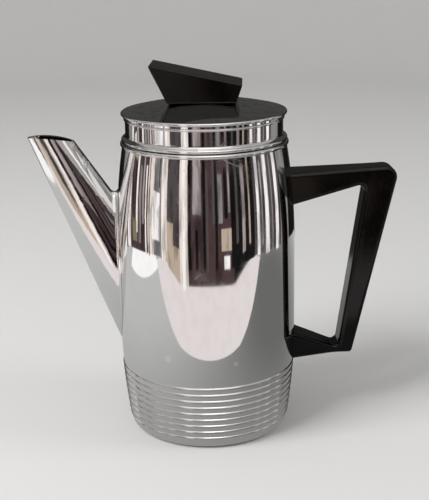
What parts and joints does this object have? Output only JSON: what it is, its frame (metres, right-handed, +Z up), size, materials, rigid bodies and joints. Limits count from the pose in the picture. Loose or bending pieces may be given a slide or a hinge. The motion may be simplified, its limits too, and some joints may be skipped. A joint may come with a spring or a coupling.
{
  "type": "stovetop coffee percolator",
  "caption": "Chromed barrel-shaped stovetop coffee pot with a tall tapered spout, an angular black handle, a lift-off lid with a wedge knob and a percolator pump and basket inside.",
  "frame": {"origin": "centre of the flat base, on the axis of the round body", "axes": "+Z up along the body axis, +X towards the handle, -X towards the spout, +Y to the far side of the picture"},
  "size_m": [0.2255, 0.1106, 0.2302],
  "materials": {
    "chrome_body": "mirror chrome plate with fine scratches",
    "chrome_lid": "mirror chrome plate with fine scratches",
    "black_phenolic": "moulded phenolic, worn satin gloss",
    "brass_insert": "turned",
    "steel_screw": "plated steel",
    "sealing_washer": "pressed fibre and rubber",
    "aluminium_works": "spun aluminium, dull",
    "steel_valve": "stamped stainless steel"
  },
  "bodies": {
    "pot": {"body_shell": "chrome_body", "base_plate": "chrome_body", "spout": "chrome_body", "handle": "black_phenolic", "handle_insert_upper": "brass_insert", "handle_screw_upper": "steel_screw", "handle_washer_upper": "sealing_washer", "handle_insert_lower": "brass_insert", "handle_screw_lower": "steel_screw", "handle_washer_lower": "sealing_washer"},
    "lid": {"lid_band": "chrome_lid", "lid_cover": "chrome_lid", "lid_knob": "black_phenolic", "knob_insert": "brass_insert", "knob_screw": "steel_screw", "knob_washer": "sealing_washer"},
    "pump": {"pump_foot": "aluminium_works", "pump_stem": "aluminium_works", "stem_stop": "aluminium_works"},
    "valve": {"pump_valve": "steel_valve"},
    "basket": {"basket_cup": "aluminium_works", "basket_strainer": "aluminium_works", "basket_sleeve": "aluminium_works"},
    "spreader": {"spreader": "aluminium_works"}
  },
  "joints": [
    {"name": "pump_lift", "type": "slide", "parent": "pot", "child": "pump", "axis": [0, 0, 1], "range_m": [0, 0.19]},
    {"name": "valve_lift", "type": "slide", "parent": "pump", "child": "valve", "axis": [0, 0, 1], "range_m": [0, 0.004]},
    {"name": "basket_lift", "type": "slide", "parent": "pump", "child": "basket", "axis": [0, 0, 1], "range_m": [0, 0.075]},
    {"name": "spreader_lift", "type": "slide", "parent": "basket", "child": "spreader", "axis": [0, 0, 1], "range_m": [0, 0.04]},
    {"name": "lid_lift", "type": "slide", "parent": "spreader", "child": "lid", "axis": [0, 0, 1], "range_m": [0, 0.1]}
  ]
}
